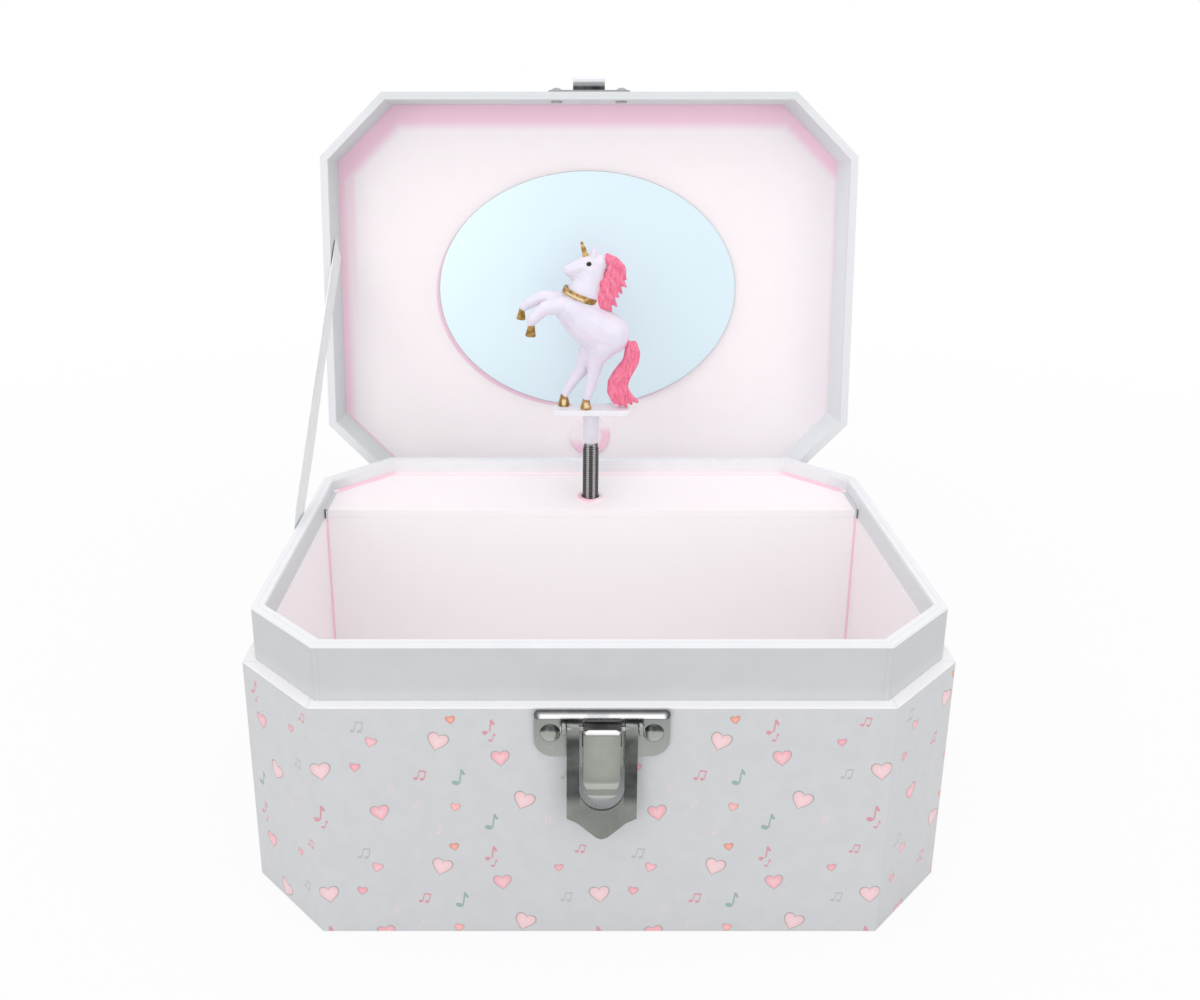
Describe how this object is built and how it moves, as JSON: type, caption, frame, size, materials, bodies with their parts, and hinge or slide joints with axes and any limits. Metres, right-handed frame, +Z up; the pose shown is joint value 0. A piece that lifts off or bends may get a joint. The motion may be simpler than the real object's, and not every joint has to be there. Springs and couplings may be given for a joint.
{
  "type": "musical jewellery box",
  "caption": "Cut-corner musical jewellery box with a hinged mirrored lid, latch, and a turning figure on a spring that folds as the lid shuts.",
  "frame": {"origin": "centre of the box's base, on the surface it stands on", "axes": "+Z up, -Y towards the front with the latch, +X to the right seen from the front"},
  "size_m": [0.1812, 0.1818, 0.2043],
  "materials": {
    "printed_paper": "satin wrap paper, white with a small pink heart and grey-green music-note print",
    "white_paper": "satin white wrap paper over greyboard",
    "pink_paper": "matt pink lining paper",
    "pink_card": "matt very pale pink paper-faced card",
    "pink_felt": "pink felt",
    "white_ribbon": "white woven satin ribbon",
    "mirror_glass": "silvered acrylic or thin glass mirror, polished",
    "plated_steel": "nickel-plated pressed steel, satin with bright edges",
    "comb_steel": "ground hardened steel",
    "spring_steel": "dark bright-drawn spring wire",
    "cast_zinc": "die-cast zinc, matt",
    "brass": "turned brass",
    "white_plastic": "white moulded plastic, soft gloss",
    "figure_plastic": "white-lilac painted plastic",
    "hair_plastic": "coral pink painted plastic"
  },
  "bodies": {
    "box": {"outer_walls": "printed_paper", "base_board": "white_paper", "collar": "white_paper", "wall_lining": "pink_paper", "floor_card": "pink_paper", "compartment_front": "pink_card", "shelf": "pink_card", "spring_grommet": "pink_felt", "ribbon_stay": "white_ribbon", "bedplate": "cast_zinc", "movement_screws": "plated_steel", "comb": "comb_steel", "comb_screws": "plated_steel", "spring_housing": "brass", "mainspring": "spring_steel", "latch_plate": "plated_steel", "latch_rivets": "plated_steel", "latch_pin": "plated_steel", "hinge_leaves_box": "plated_steel", "hinge_pins": "plated_steel", "hinge_rivets_box": "plated_steel"},
    "lid": {"lid_walls": "white_paper", "lid_top": "printed_paper", "lid_lining": "pink_card", "mirror": "mirror_glass", "lid_pad": "pink_felt", "strike_plate": "plated_steel", "strike_rivets": "plated_steel", "hinge_leaves_lid": "plated_steel", "hinge_rivets_lid": "plated_steel"},
    "spring": {"coil_spring": "spring_steel"},
    "figure": {"stem": "white_plastic", "turning_disc": "white_plastic", "unicorn": "figure_plastic", "unicorn_mane": "hair_plastic", "unicorn_tail": "hair_plastic"},
    "cylinder": {"music_cylinder": "brass", "cylinder_arbor": "comb_steel", "drive_pinion": "brass", "cylinder_wheel": "brass"},
    "governor": {"governor_arbor": "comb_steel", "governor_fan": "white_plastic"},
    "key": {"crown_wheel": "brass", "key_arbor": "comb_steel", "winding_key": "plated_steel"},
    "stop": {"stop_rod": "comb_steel"},
    "lever": {"latch_lever": "plated_steel"},
    "hook": {"latch_hook": "plated_steel"}
  },
  "joints": [
    {"name": "lid_hinge", "type": "hinge", "parent": "box", "child": "lid", "pos_m": [0, 0.0693, 0.0643], "axis": [1, 0, 0], "range_deg": [0, 97.5], "deforming": ["ribbon_stay"]},
    {"name": "figure_fold", "type": "hinge", "parent": "box", "child": "spring", "pos_m": [0, 0.039, 0.076], "axis": [1, 0, 0], "range_deg": [0, 110.1], "deforming": ["coil_spring"]},
    {"name": "figure_spin", "type": "hinge", "parent": "spring", "child": "figure", "pos_m": [0, 0.039, 0.0929], "axis": [0, 0, 1], "continuous": true},
    {"name": "cylinder_spin", "type": "hinge", "parent": "box", "child": "cylinder", "pos_m": [0, 0.039, 0.05], "axis": [0, 0, 1], "continuous": true},
    {"name": "governor_spin", "type": "hinge", "parent": "box", "child": "governor", "pos_m": [0.0015, 0.04706, 0.06], "axis": [0, 0, 1], "continuous": true},
    {"name": "key_turn", "type": "hinge", "parent": "box", "child": "key", "pos_m": [0, 0.0665, 0.024], "axis": [0, 1, 0], "continuous": true},
    {"name": "stop_slide", "type": "slide", "parent": "box", "child": "stop", "axis": [0, 0, -1], "range_m": [0, 0.00501]},
    {"name": "latch_lever_hinge", "type": "hinge", "parent": "box", "child": "lever", "pos_m": [0, -0.0689, 0.06], "axis": [-1, 0, 0], "range_deg": [0, 105]},
    {"name": "latch_hook_hinge", "type": "hinge", "parent": "box", "child": "hook", "pos_m": [0, -0.0689, 0.06], "axis": [-1, 0, 0], "range_deg": [0, 161]}
  ],
  "couplings": [
    {"joint": "figure_fold", "follows": "lid_hinge", "ratio": 1.1282},
    {"joint": "stop_slide", "follows": "lid_hinge", "m_per_rad": 0.0029382},
    {"joint": "cylinder_spin", "follows": "figure_spin", "ratio": 1},
    {"joint": "key_turn", "follows": "figure_spin", "ratio": -0.25},
    {"joint": "governor_spin", "follows": "figure_spin", "ratio": -4.125}
  ]
}
